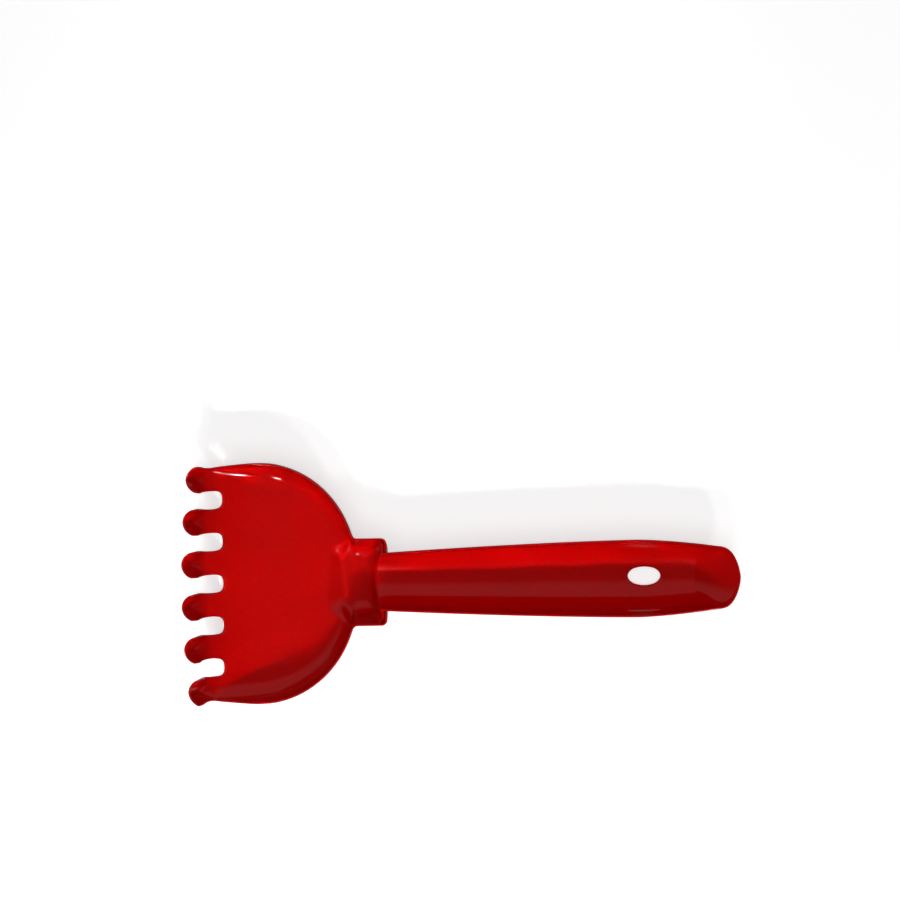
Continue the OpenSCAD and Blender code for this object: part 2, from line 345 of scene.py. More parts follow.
class Graph:
    """The nodes of one material or world."""

    # A Mix node's sockets for colours, by number, because their names repeat.
    MIX_FACTOR, MIX_FIRST, MIX_SECOND, MIX_RESULT = 0, 6, 7, 2

    def __init__(self, owner: bpy.types.Material | bpy.types.World) -> None:
        """Starts with an empty tree.

        Args:
            owner: the material or world.
        """
        owner.use_nodes = True
        self.tree = owner.node_tree
        self.tree.nodes.clear()

    def node(
        self,
        kind: str,
        settings: dict[str, object],
        inputs: dict[int | str, object],
        output: int | str = 0,
    ) -> Socket:
        """Adds any node.

        Args:
            kind: the node's type.
            settings: its properties, which are set first.
            inputs: values or links of its sockets, by name or number.
            output: the socket to return.

        Returns:
            The node's output socket.
        """
        made = self.tree.nodes.new(kind)
        for name, value in settings.items():
            setattr(made, name, value)
        for name, value in inputs.items():
            if isinstance(value, Socket):
                self.tree.links.new(value.socket, made.inputs[name])
            else:
                made.inputs[name].default_value = value
        return Socket(self, made.outputs[output] if made.outputs else None)

    def stretched(self, place: Socket, scale: Place) -> Socket:
        """Scales a place along its axes, so that a pattern on it runs in streaks."""
        return self.node("ShaderNodeMapping", {}, {"Vector": place, "Scale": scale})

    def noise(self, place: Socket, scale: float, detail: float) -> Socket:
        """Adds a noise pattern on a place, from 0 to 1."""
        inputs = {"Vector": place, "Scale": scale, "Detail": detail}
        return self.node("ShaderNodeTexNoise", {}, inputs)

    def blend(self, factor: Socket, first: Colour, second: Colour) -> Socket:
        """Mixes two colours by a factor."""
        inputs = {self.MIX_FACTOR: factor, self.MIX_FIRST: first, self.MIX_SECOND: second}
        return self.node("ShaderNodeMix", {"data_type": "RGBA"}, inputs, output=self.MIX_RESULT)


@dataclass(frozen=True)
class RedPlastic:
    """Glossy, through-coloured moulded plastic with faint flow marks and fine rub marks."""

    name: str = "red_plastic"
    red: Colour = (0.53, 0.0006, 0.0008, 1.0)
    deep_red: Colour = (0.49, 0.0004, 0.0006, 1.0)
    flow_stretch: Place = (0.35, 1.0, 1.0)
    flow_scale: float = 38.0
    flow_detail: float = 3.0
    flow_limits: tuple[float, float] = (0.35, 0.65)
    rub_stretch: Place = (0.2, 1.0, 1.0)
    rub_scale: float = 260.0
    rub_detail: float = 2.0
    rub_limits: tuple[float, float] = (0.60, 0.78)
    peel_scale: float = 900.0
    peel_detail: float = 2.0
    peel_height: float = 0.00002
    peel_strength: float = 0.35
    roughness: float = 0.06
    flow_dulling: float = 0.015
    rub_dulling: float = 0.025
    ior: float = 1.49
    specular: float = 0.35

    def material(self) -> bpy.types.Material:
        """Makes the material.

        Returns:
            The finished material, on Object coordinates.
        """
        made = bpy.data.materials.new(self.name)
        graph = Graph(made)
        place = graph.node("ShaderNodeTexCoord", {}, {}, output="Object")
        along = graph.stretched(place, self.flow_stretch)
        flow = graph.noise(along, self.flow_scale, self.flow_detail).above(*self.flow_limits)
        rubbed = graph.stretched(place, self.rub_stretch)
        rubs = graph.noise(rubbed, self.rub_scale, self.rub_detail).above(*self.rub_limits)
        normal = graph.node("ShaderNodeBump", {}, {
            "Height": graph.noise(place, self.peel_scale, self.peel_detail),
            "Strength": self.peel_strength,
            "Distance": self.peel_height,
        })
        shader = graph.node("ShaderNodeBsdfPrincipled", {}, {
            "Base Color": graph.blend(flow, self.red, self.deep_red),
            "Roughness": self.roughness + self.flow_dulling * flow + self.rub_dulling * rubs,
            "IOR": self.ior,
            "Specular IOR Level": self.specular,
            "Normal": normal,
        })
        graph.node("ShaderNodeOutputMaterial", {}, {"Surface": shader})
        return made


@dataclass
class RakeHead:
    """The dished blade with its tines and the collar trough, as one bent sheet with a wall.

    Sizes are in millimetres and slopes in degrees.
    """

    blade_w: float = 95.5
    blade_taper: float = 3.2
    taper_x: float = -38.0
    taper_power: float = 1.2
    mid_x: float = -42.9
    back_l: float = 43.0
    back_power: float = 2.2
    wall: float = 1.8
    rim_wall: float = 0.8
    floor_rise: float = 5.5
    rim_h: float = 16.0
    rim_sweep: float = 9.0
    rim_power: float = 2.2
    curl_x: float = -26.0
    curl_r: float = 62.0
    outer_tine_w: float = 9.7
    gap_w: float = 7.0
    gap_power: float = 2.8
    gap_reach: float = 53.4
    tine_reach: float = 10.9
    tine_setback: float = 2.3
    tip_slope: float = 60.0
    edge_h: float = 4.9
    tine_wall: float = 1.7
    edge_rise_share: float = 0.85
    root_share: float = 0.7
    thin_share: float = 0.6
    tip_flare: float = 0.9
    tine_power: float = 1.85
    outer_corner_power: float = 1.7
    collar_half: float = 16.6
    collar_wall: float = 2.0
    collar_floor: float = 2.0
    collar_draft: float = 4.2
    collar_front_x: float = -14.5
    collar_front_r: float = 10.0
    collar_step_r: float = 2.4
    least_step_r: float = 0.01
    collar_foot_r: float = 4.5
    corner_r: float = 2.8
    corner_fade: float = 4.0
    flare_power: int = 4
    end_x: float = 10.2
    end_wall: float = 1.1
    end_turn_r: float = 1.2
    notch_half: float = 11.65
    notch_depth: float = 12.55
    tines: int = 6

    # The sheet's rows and columns, and how they spread from the tines to the back.
    tine_steps: int = 12
    outer_steps: int = 16
    gap_steps: int = 12
    tine_rows: int = 14
    blade_runs: tuple[tuple[float, int], ...] = ((0.0, 0), (0.70, 17), (0.97, 28), (1.0, 4))
    gap_fade: float = 0.22
    spread_start: float = 0.25
    spread_run: float = 0.5
    collar_rows: int = 14
    turn_rows: int = 4
    plate_rows: int = 2
    collar_columns: int = 30
    floor_columns: int = 12
    foot_columns: int = 10
    hollow_margin: int = 6

    # The search for the hollow's height: where it starts and how often it halves.
    search_low: float = -1.0
    search_over: float = 4.0
    halvings: int = 40

    def __post_init__(self) -> None:
        """Works out the sizes that follow from the others."""
        self.half = self.blade_w / 2 - self.rim_wall
        self.front_half = (self.blade_w - self.blade_taper) / 2
        self.gap_r = self.gap_w / 2
        self.outer_gap_y = self.front_half - self.outer_tine_w
        self.pitch = (self.outer_gap_y - self.gap_r) * 2 / (self.tines - 2)
        self.tine_w = self.pitch - self.gap_w
        self.tine_x = -self.gap_reach - self.gap_r
        self.root_slope = math.asin((self.curl_x - self.tine_x) / self.curl_r)
        self.back_l_in = self.back_l - self.rim_wall
        self.collar_h = self.rim_h - self.collar_floor
        self.collar_lean = self.collar_draft / self.collar_h
        self.blade_shares = spaced(*self.blade_runs)
        self.place_corner()
        self.lay_collar_section()
        self.lay_columns()

    def back_x(self, y: Array | float) -> Array | float:
        """X of the blade's round back, inside its rim."""
        rest = np.maximum(0.0, 1 - (np.abs(y) / self.half) ** self.back_power)
        return self.mid_x + self.back_l_in * rest ** (1 / self.back_power)

    def place_corner(self) -> None:
        """Places the round corner that joins the blade's back to the collar's side."""
        corner_x = float(self.back_x(self.collar_half))
        run, power = self.collar_half / self.half, self.back_power
        steep = self.back_l_in / self.half
        steep = steep * run ** (power - 1) * (1 - run**power) ** (1 / power - 1)
        length = self.corner_r / math.tan((math.pi / 2 + math.atan(steep)) / 2)
        self.corner_end_x = corner_x + length
        self.corner_y = self.collar_half + length / math.hypot(1.0, steep)
        self.corner_x = float(self.back_x(self.corner_y))

    def collar_flare(self, x: Array | float) -> Array | float:
        """How far the round corner widens the collar's hollow.

        Args:
            x: place along the rake.

        Returns:
            The widening on one side, in millimetres.
        """
        run = np.clip(self.corner_end_x - np.maximum(x, self.corner_x), 0.0, self.corner_r)
        bend = self.corner_r - np.sqrt(self.corner_r**2 - run**2)
        return bend * (1 - ease((self.corner_x - x) / self.corner_fade))

    def tine_y(self, n: Array | int) -> Array | float:
        """Y of a tine's middle."""
        return (n - (self.tines - 1) / 2) * self.pitch

    def lay_collar_section(self) -> None:
        """Lays the collar's half section, from its floor's middle to its rim, and the notch."""
        lean, foot_r = self.collar_lean, self.collar_foot_r
        foot_y = self.collar_half - lean * (self.collar_h - foot_r) - foot_r
        floor_y = np.linspace(0.0, foot_y, self.floor_columns + 1)
        a = np.linspace(0.0, math.pi / 2 - math.atan(lean), self.foot_columns + 1)[1:]
        foot = foot_y + foot_r * np.sin(a)
        wall_columns = self.collar_columns - self.floor_columns - self.foot_columns
        wall_y = np.linspace(foot[-1], self.collar_half, wall_columns + 1)[1:]
        self.section_y = np.concatenate([floor_y, foot, wall_y])
        turn = np.radians(spaced((90.0, 0), (0.0, self.collar_columns)))
        self.notch_y = self.notch_half * np.cos(turn)
        self.notch_z = self.rim_h - self.notch_depth * np.sin(turn)

    def lay_columns(self) -> None:
        """Lays the sheet's columns across the tines and gaps, from -Y to +Y."""
        y, notch, tine, across = [], [], [], []
        for n in range(self.tines):
            outer = n in (0, self.tines - 1)
            steps = self.outer_steps if outer else self.tine_steps
            width, middle = self.tine_w, self.tine_y(n)
            if outer:
                width = self.outer_tine_w - self.rim_wall
                middle = math.copysign(self.outer_gap_y + width / 2, middle)
            for k in range(steps + 1):
                share = -1 + 2 * k / steps
                y.append(middle + width / 2 * share)
                notch.append(0.0)
                tine.append(n)
                across.append(share)
            if n < self.tines - 1:
                gap_y = (n - (self.tines - 2) / 2) * self.pitch
                for k in range(1, self.gap_steps):
                    a = math.pi * k / self.gap_steps
                    y.append(gap_y - self.gap_r * float(bent(math.cos(a), 2 / self.gap_power)))
                    notch.append(self.gap_r * math.sin(a) ** (2 / self.gap_power))
                    tine.append(-1)
                    across.append(0.0)
        self.column_y, self.column_notch = np.array(y), np.array(notch)
        self.column_tine, self.column_across = np.array(tine), np.array(across)
        self.middle_column = (len(y) - 1) // 2
        self.column_order = np.abs(np.arange(len(y)) - self.middle_column)
        self.spread_columns()

    def spread_columns(self) -> None:
        """Spreads the columns over the blade's middle, and over the collar and the back."""
        side = np.sign(self.column_y)
        mid_y = np.abs(self.column_y) * self.half / (self.front_half - self.rim_wall)
        edge_mid_y = mid_y[self.middle_column + self.collar_columns]
        share = (mid_y - edge_mid_y) / (self.half - edge_mid_y)
        outside = mix(self.corner_y, self.half, share)
        inside = self.section_y[np.minimum(self.column_order, self.collar_columns)]
        widening = (inside / self.collar_half) ** self.flare_power
        inside = inside + (self.corner_y - self.collar_half) * widening
        on_collar = self.column_order <= self.collar_columns
        self.column_mid_y = side * mid_y
        self.column_back_y = side * np.where(on_collar, inside, outside)

    def floor_z(self, x: Array | float) -> Array | float:
        """Height of the blade's floor."""
        run = np.maximum(0.0, self.curl_x - x)
        return self.floor_rise + self.curl_r - np.sqrt(self.curl_r**2 - run**2)

    def half_span(self, x: Array) -> Array:
        """Half span of the blade inside its rim."""
        t = np.maximum(0.0, (self.taper_x - x) / (self.taper_x - self.tine_x))
        return self.blade_w / 2 - self.blade_taper / 2 * t**self.taper_power - self.rim_wall

    def blade_z(self, x: Array, y: Array) -> tuple[Array, Array]:
        """Height of the blade's hollow side.

        Args:
            x, y: places in plan.

        Returns:
            The height, and how far up the rim's wall each place is, from 0 to 1.
        """
        power, beside = self.back_power, np.abs(y) / self.half_span(x)
        along = np.maximum(0.0, x - self.mid_x) / self.back_l_in
        share = (along**power + beside**power) ** (1 / power)
        t = clamp(1 + (share - 1) * self.blade_w / 2 / self.rim_sweep)
        up = 1 - (1 - t**self.rim_power) ** (1 / self.rim_power)
        return mix(self.floor_z(x), self.rim_h, up), up

    def hollow_z(self, x: Array, y: Array, blade: Array, up: Array) -> Array:
        """Height where the collar's hollow runs into the blade, with rounded steps.

        Args:
            x, y: places in plan.
            blade: the blade's own height there.
            up: how far up the rim's wall each place is.

        Returns:
            The height, found by halving.
        """
        qx = self.collar_front_x + self.collar_front_r - x
        qy = np.abs(y) - (self.collar_half + self.collar_flare(x) - self.collar_front_r)
        corner = np.hypot(np.maximum(qx, 0.0), np.maximum(qy, 0.0))
        depth = self.collar_front_r - np.where((qx > 0) | (qy > 0), corner, np.maximum(qx, qy))
        upright = math.cos(math.atan(self.collar_lean))
        step_r = self.collar_step_r * (1 - up) + self.least_step_r
        low = np.full_like(x, self.search_low)
        high = np.full_like(x, self.rim_h + self.search_over)
        for _ in range(self.halvings):
            z = (low + high) / 2
            beside = (self.collar_lean * (self.rim_h - z) - depth) * upright
            inside = rounded_most(beside, self.collar_floor - z, self.collar_foot_r)
            solid = rounded_least(blade - z, inside, step_r)
            low, high = np.where(solid > 0, z, low), np.where(solid > 0, high, z)
        return (low + high) / 2

    def blade_points(self, share: Array, column: Array) -> Array:
        """Points of the blade.

        Args:
            share: place between the tines' roots, 0, and the round back, 1.
            column: the sheet's column.

        Returns:
            The points, in millimetres.
        """
        back_y = self.column_back_y[column]
        notch = self.column_notch[column] * (1 - ease(share / self.gap_fade))
        x = mix(self.tine_x, self.back_x(back_y), share) + notch
        spread = ease((share - self.spread_start) / self.spread_run)
        y = mix(self.column_mid_y[column], back_y, spread)
        y = y * self.half_span(x) / self.half
        blade, up = self.blade_z(x, y)
        near_collar = self.column_order[column] <= self.collar_columns + self.hollow_margin
        z = np.where(near_collar, self.hollow_z(x, y, blade, up), blade)
        return np.stack([x, y, z], axis=1)

    def tine_points(self, share: Array, column: Array) -> tuple[Array, Array]:
        """Points of the tines, each a channel that bends up.

        Args:
            share: place between the root, 0, and the tip, 1.
            column: the sheet's column.

        Returns:
            The points and the walls, in millimetres.
        """
        n = np.maximum(self.column_tine[column], 0)
        across = self.column_across[column]
        y_mid = self.tine_y(n)
        outer = (n == 0) | (n == self.tines - 1)

        # The tine's middle line, which bends up from the root's slope to the tip's.
        tip = math.radians(self.tip_slope)
        slope = mix(self.root_slope, tip, share)
        root_sin, root_cos = math.sin(self.root_slope), math.cos(self.root_slope)
        root_z = self.floor_z(self.tine_x)
        bend_r = self.tine_reach / (math.sin(tip) - root_sin)
        reach_share = 1 - self.tine_setback / self.tine_reach * (y_mid / self.tine_y(0)) ** 2
        x = self.tine_x - bend_r * (np.sin(slope) - root_sin) * reach_share
        z = root_z + bend_r * (root_cos - np.cos(slope))

        # The channel's section, whose edges grow from the root; an outer edge carries the rim on.
        outer_y = np.sign(y_mid) * (self.outer_gap_y + self.outer_tine_w / 2)
        root_w = np.where(outer, self.outer_tine_w, self.tine_w)
        root_y = np.where(outer, outer_y, y_mid)
        half = (mix(root_w, self.tine_w, share) + self.tip_flare * share) / 2
        on_rim = outer & (across * y_mid > 0)
        grown = ease(share / self.edge_rise_share)
        rise = np.where(on_rim, mix(self.rim_h - root_z, self.edge_h, share), self.edge_h * grown)
        edge = np.where(on_rim, self.rim_wall, self.rim_wall * grown)
        rim_power = mix(self.tine_power, self.outer_corner_power, share)
        power = np.where(on_rim, rim_power, self.tine_power)
        raised = np.where(on_rim, 1.0, grown)
        side = mix(across, bent(np.sin(np.pi / 2 * across), 2 / power), raised)
        turn = np.arcsin(np.clip(bent(side, power / 2), -1, 1))
        up = 1 - np.abs(np.cos(turn)) ** (2 / power)

        # Near the root the tine keeps to the blade's own edge.
        root = self.blade_points(np.zeros_like(share), column)
        own = ease(share / self.root_share)
        root_rise = root[:, 2] - root_z
        out = mix(root_rise * root_cos, rise * up, own)
        along = root_rise * root_sin * (1 - own)
        y = mix(root[:, 1], mix(root_y, y_mid, share) + side * (half - edge), own)
        x = x + out * np.sin(slope) - along * np.cos(slope)
        z = z + out * np.cos(slope) + along * np.sin(slope)
        to_tip = ease((share - self.thin_share) / (1 - self.thin_share))
        walls = mix(self.tine_wall, self.rim_wall, np.maximum(up**2 * raised, to_tip))
        return np.stack([x, y, z], axis=1), walls

    def collar_points(self, row: Array, column: Array) -> Array:
        """Points of the collar behind the blade's back, of the turn at its end and of the end wall.

        Args:
            row: the row behind the blade, from 1.
            column: the sheet's column.

        Returns:
            The points, in millimetres.
        """
        order = np.minimum(self.column_order[column], self.collar_columns)
        side = np.sign(column - self.middle_column)
        back_x = self.back_x(self.column_back_y[column])
        x = mix(back_x, self.end_x - self.end_turn_r, clamp(row / self.collar_rows))
        y = self.section_y[order]
        y = y + self.collar_flare(x) * (y / self.collar_half) ** self.flare_power
        z = self.hollow_z(x, y, np.full_like(x, self.rim_h), np.ones_like(x))
        turn = np.pi / 2 * clamp((row - self.collar_rows) / self.turn_rows)
        plate = clamp((row - self.collar_rows - self.turn_rows) / self.plate_rows)
        to_y, to_z = self.notch_y[order] - y, self.notch_z[order] - z
        length = np.hypot(to_y, to_z)
        inward = mix(self.end_turn_r * (1 - np.cos(turn)), length, plate) / length
        x = x + self.end_turn_r * np.sin(turn)
        return np.stack([x, side * (y + to_y * inward), z + to_z * inward], axis=1)

    def build(self) -> bpy.types.Object:
        """Models the head.

        Returns:
            The finished mesh object.
        """
        blade_rows = len(self.blade_shares) - 1
        back_rows = self.collar_rows + self.turn_rows + self.plate_rows
        rows = self.tine_rows + blade_rows + back_rows
        piece, row, column = Workbench.grid("rake_head_moulding", rows, len(self.column_y) - 1)
        root, back = self.tine_rows, self.tine_rows + blade_rows
        on_tine, on_collar = row < root, row > back
        blade_row = np.clip(row - root, 0, blade_rows)
        blade = self.blade_points(self.blade_shares[blade_row], column)
        tines, tine_walls = self.tine_points(1 - row / root, column)
        collar = self.collar_points((row - back).astype(float), column)
        points = np.where(on_collar[:, None], collar, blade)
        points = np.where(on_tine[:, None], tines, points)

        _, up = self.blade_z(blade[:, 0], blade[:, 1])
        in_collar = self.column_order[column] <= self.collar_columns
        in_collar = in_collar & (blade[:, 0] > self.collar_front_x)
        climb = clamp((points[:, 2] - self.collar_floor) / self.collar_h)
        walls = mix(self.collar_wall, self.rim_wall, climb**2)
        turned = clamp((row - back - self.collar_rows) / self.turn_rows)
        walls = mix(walls, self.end_wall, turned)
        walls = np.where(on_collar | in_collar, walls, mix(self.wall, self.rim_wall, up**2))
        Workbench.shape(piece, points)
        Workbench.mark_walls(piece, np.where(on_tine, tine_walls, walls))

        def unwanted(corners: list[int]) -> bool:
            """Tells whether a face lies in a gap between tines, or beside the collar.

            Args:
                corners: the face's points.

            Returns:
                True where the face is to go.
            """
            first, last = column[corners].min(), column[corners].max()
            tine = self.column_tine[first]
            between = tine != self.column_tine[last] or tine < 0
            beside = self.column_order[column[corners]].max() > self.collar_columns
            in_gap = row[corners].min() < root and between
            return in_gap or (row[corners].max() > back and beside)

        Workbench.cut_away(piece, unwanted)
        Workbench.point_faces_up(piece)
        Workbench.thicken(piece)
        Workbench.round_edges(piece)
        return piece


@dataclass
class Handle:
    """The open channel handle, with the flange at its front and the hanging hole.

    Sizes are in millimetres; u runs along the handle from the collar's end.
    """

    start_x: float = 11.5
    length: float = 139.4
    rim_h: float = 16.0
    neck_w: float = 23.0
    neck_depth: float = 12.4
    belly_w: float = 30.4
    belly_reach: float = 99.0
    butt_w: float = 25.0
    butt_depth: float = 14.0
    butt_l: float = 10.2
    slope_l: float = 17.0
    swell_power: float = 1.5
    butt_power: float = 1.15
    end_power: float = 3.0
    end_fall: float = 0.8
    wall: float = 1.7
    rim_wall: float = 0.8
    hole_l: float = 12.9
    hole_w: float = 6.9
    hole_from_end: float = 36.9
    hole_zone: float = 12.0
    keel_reach: float = 122.0
    flange_x: float = 4.9
    flange_half: float = 16.5
    flange_draft: float = 4.2
    flange_floor: float = 2.12
    flange_corner_r: float = 4.5
    flange_wall: float = 0.8
    flange_edge: float = 0.1
    flange_lean: float = 4.8
    flange_foot_r: float = 2.2
    mouth_r: float = 3.0

    # The most of the way out to the flange's edge that the mouth and the foot may round.
    most_mouth: float = 0.5
    most_foot: float = 0.45

    # The sheet's rings and steps, and the shares of them that the flange's outline takes up.
    rings: int = 24
    foot_share: float = 0.35
    wall_share: float = 0.35
    neck_steps: int = 56
    butt_steps: int = 10
    fan_steps: int = 10
    flange_rows: int = 9
    mouth_rows: int = 6
    hole_reach: int = 10
    hole_inner: int = 5
    merge_reach: float = 0.01
    rim_reach: float = 1.3

    def __post_init__(self) -> None:
        """Works out the sizes that follow from the others, and the stations along one side."""
        self.butt_start = self.length - self.butt_l
        self.slope_start = self.length - self.slope_l
        self.end_l = self.butt_l - self.rim_wall
        self.mouth_u = self.flange_x + self.mouth_r - self.start_x
        self.hole_u = self.length - self.hole_from_end
        self.front = self.flange_rows + self.mouth_rows
        self.stations = spaced(
            (self.mouth_u, 0),
            (self.hole_u - self.hole_zone, self.neck_steps),
            (self.hole_u + self.hole_zone, 2 * self.hole_reach),
            (self.butt_start, self.butt_steps),
        )
        self.hole_station = self.neck_steps + self.hole_reach

    def swell(self, u: Array, neck: float, belly: float, butt: float) -> Array:
        """A size that runs from the neck over the belly to the butt.

        Args:
            u: place along the handle.
            neck, belly, butt: the size at each.

        Returns:
            The size at u.
        """
        to_neck = clamp(1 - np.maximum(0, u) / self.belly_reach)
        to_butt = clamp((u - self.belly_reach) / (self.butt_start - self.belly_reach))
        before = mix(belly, neck, to_neck**self.swell_power)
        behind = mix(belly, butt, to_butt**self.swell_power)
        return np.where(u < self.belly_reach, before, behind)

    def half(self, u: Array) -> Array:
        """Half width of the channel at the rim.

        Args:
            u: place along the handle.

        Returns:
            The half width inside the rim.
        """
        t = clamp((u - self.butt_start) / self.end_l)
        bend = (1 - t**self.end_power) ** self.end_fall
        outside = self.swell(u, self.neck_w, self.belly_w, self.butt_w) / 2
        return (outside - self.rim_wall) * bend

    def depth(self, u: Array) -> Array:
        """Depth of the channel in its middle.

        Args:
            u: place along the handle.

        Returns:
            The depth of the hollow side below the rim.
        """
        t = clamp((u - self.slope_start) / (self.slope_l - self.rim_wall))
        outside = self.swell(u, self.neck_depth, self.rim_h, self.butt_depth)
        return (outside - self.wall) * (1 - t**self.butt_power)

    def section_z(self, u: Array, y: Array) -> Array:
        """Height of the channel's hollow side at a place in plan."""
        half = np.maximum(self.half(u), TINY)
        return self.rim_h - self.depth(u) * np.sqrt(clamp(1 - (y / half) ** 2))

    def ring_share(self, ring: Array, fan: Array) -> Array:
        """How far out a ring lies, from the keel, 0, to the rim, 1; fan is 1 at the end."""
        even = ring / self.rings
        return mix(np.sin(np.pi / 2 * even), even, fan)

    def flange_outline(self, ring: Array) -> tuple[Array, Array]:
        """The flange's half outline.

        Args:
            ring: from the middle of the flange's foot to its top corner.

        Returns:
            Y and Z.
        """
        share = ring / self.rings
        height, radius = self.rim_h - self.flange_floor, self.flange_corner_r
        lean = self.flange_draft / height
        foot_y = self.flange_half - lean * (height - radius) - radius
        corner_share = 1 - self.foot_share - self.wall_share
        round_corner = clamp((share - self.foot_share) / corner_share)
        turn = round_corner * (np.pi / 2 - math.atan(lean))
        y = clamp(share / self.foot_share) * foot_y + radius * np.sin(turn)
        z = self.flange_floor + radius * (1 - np.cos(turn))
        climb = clamp((share - (1 - self.wall_share)) / self.wall_share) * (height - radius)
        return y + lean * climb, z + climb

    def channel_points(self, step: Array, ring: Array) -> tuple[Array, Array, Array]:
        """Places on one side of the bare channel, at +Y.

        Args:
            step: place along the side: the flange, the mouth, the stations, and the fan round
                the end. The flange's and the mouth's steps all lie at the first station.
            ring: from the keel to the rim.

        Returns:
            X, Y and Z, in millimetres.
        """
        last = len(self.stations) - 1
        station = np.clip(step - self.front, 0, last)
        u = self.stations[station]
        fan = clamp((step - self.front - last) / self.fan_steps)
        turn = np.pi / 2 * fan
        end_half = self.half(np.full_like(u, self.butt_start))
        round_u = self.butt_start + self.end_l * np.sin(turn) ** (2 / self.end_power)
        round_y = end_half * clamp(np.cos(turn)) ** (2 * self.end_fall)
        rim_u = np.where(fan > 0, round_u, u)
        rim_y = np.where(fan > 0, round_y, self.half(u))
        keel_u = np.minimum(u, self.keel_reach)
        out = self.ring_share(ring, fan**2)
        plan_u, plan_y = mix(keel_u, rim_u, out), rim_y * out
        plan_u, plan_y = self.around_hole(station, ring, fan, plan_u, plan_y)
        return self.start_x + plan_u, plan_y, self.section_z(plan_u, plan_y)

    def side_points(self, step: Array, ring: Array) -> Array:
        """Points of one side of the handle, at +Y, with the mouth that turns out to the flange.

        Args:
            step: place along the side, as in channel_points.
            ring: from the keel to the rim.

        Returns:
            The points, in millimetres.
        """
        x, y, z = self.channel_points(step, ring)
        mouth = clamp((self.front - step) / self.mouth_rows) * np.pi / 2
        plate = np.sin(np.pi / 2 * clamp((self.flange_rows - step) / self.flange_rows))
        flange_y, flange_z = self.flange_outline(ring)
        to_y, to_z = flange_y - y, flange_z - z
        length = np.maximum(np.hypot(to_y, to_z), TINY)
        radius = np.minimum(self.mouth_r, self.most_mouth * length)
        outward = mix(radius * (1 - np.cos(mouth)), length, plate) / length
        climb = (z + to_z * outward - self.flange_floor) / (self.rim_h - self.flange_floor)
        lean = self.flange_lean * clamp(climb)
        foot_r = np.minimum(self.flange_foot_r, self.most_foot * length)
        run = np.where(plate > 0, np.clip(foot_r - length * (1 - outward), 0, foot_r), 0)
        foot = foot_r - np.sqrt(foot_r**2 - run**2)
        x = x - self.mouth_r * np.sin(mouth) + lean * np.sin(mouth) - foot
        return np.stack([x, y + to_y * outward, z + to_z * outward], axis=1)

    def around_hole(
        self, station: Array, ring: Array, fan: Array, u: Array, y: Array
    ) -> tuple[Array, Array]:
        """Bends the grid's lines round the hanging hole.

        Args:
            station, ring, fan: the points' places in the grid.
            u, y: the points' places in plan.

        Returns:
            The new places in plan.
        """
        p, q = (station - self.hole_station) / self.hole_reach, ring / self.hole_reach
        rho = np.maximum(np.abs(p), q)
        within = (rho <= 1) & (fan <= 0)
        safe = np.maximum(rho, TINY)
        turn = np.arctan2(q, p)
        hole_u = self.hole_u + self.hole_l / 2 * np.cos(turn)
        hole_y = self.hole_w / 2 * np.sin(turn)
        last = len(self.stations) - 1
        index = np.clip(self.hole_station + self.hole_reach * p / safe, 0, last)
        edge_u = np.interp(index, np.arange(last + 1), self.stations)
        edge_share = self.ring_share(self.hole_reach * q / safe, np.zeros_like(q))
        edge_y = self.half(edge_u) * edge_share
        inner = self.hole_inner / self.hole_reach
        share = clamp((rho - inner) / (1 - inner))
        new_u, new_y = mix(hole_u, edge_u, share), mix(hole_y, edge_y, share)
        return np.where(within, new_u, u), np.where(within, new_y, y)

    def build(self) -> bpy.types.Object:
        """Models the handle.

        Returns:
            The finished mesh object.
        """
        side_steps = self.front + len(self.stations) - 1 + self.fan_steps
        piece, ring, column = Workbench.grid("handle_moulding", self.rings, 2 * side_steps)
        first_side = column <= side_steps
        step = np.where(first_side, column, 2 * side_steps - column)
        points = self.side_points(step, ring)
        points[:, 1] *= np.where(first_side, 1.0, -1.0)
        climb = clamp((points[:, 2] - self.wall) / (self.rim_h - self.wall))
        walls = mix(self.wall, self.rim_wall, climb**2)
        walls = mix(walls, self.flange_wall, clamp((self.front - step) / self.mouth_rows))
        walls = mix(walls, self.flange_edge, clamp(1 - step / self.flange_rows))
        Workbench.shape(piece, points)
        Workbench.mark_walls(piece, walls)
        off = np.abs(step - self.front - self.hole_station)

        def unwanted(corners: list[int]) -> bool:
            """Tells whether a face, given by its points, lies in the hanging hole."""
            return max(off[corners].max(), ring[corners].max()) <= self.hole_inner

        Workbench.cut_away(piece, unwanted)
        Workbench.merge(piece, self.merge_reach)
        Workbench.point_faces_up(piece)
        Workbench.thicken(piece)
        Workbench.flatten_rim(piece, self.rim_h, self.rim_reach)
        Workbench.round_edges(piece)
        return piece


@dataclass(frozen=True)
class Softbox:
    """A square lamp that points at the rake (metres, watts and degrees)."""

    lamp: Lamp
    place: Place
    size: float
    power: float
    spread: float = 180.0
    aim_x: float = 0.03
    mirrored: bool = True

    def hang(self) -> None:
        """Hangs the lamp; glossy surfaces show it only where it is mirrored."""
        data = bpy.data.lights.new(self.lamp.value, "AREA")
        data.shape, data.size, data.energy = "SQUARE", self.size, self.power
        data.spread = math.radians(self.spread)
        made = bpy.data.objects.new(self.lamp.value, data)
        bpy.context.collection.objects.link(made)
        made.location = self.place
        made.visible_glossy = self.mirrored
        aim = Vector((self.aim_x, 0.0, 0.0)) - made.location
        made.rotation_euler = aim.to_track_quat("-Z", "Y").to_euler()


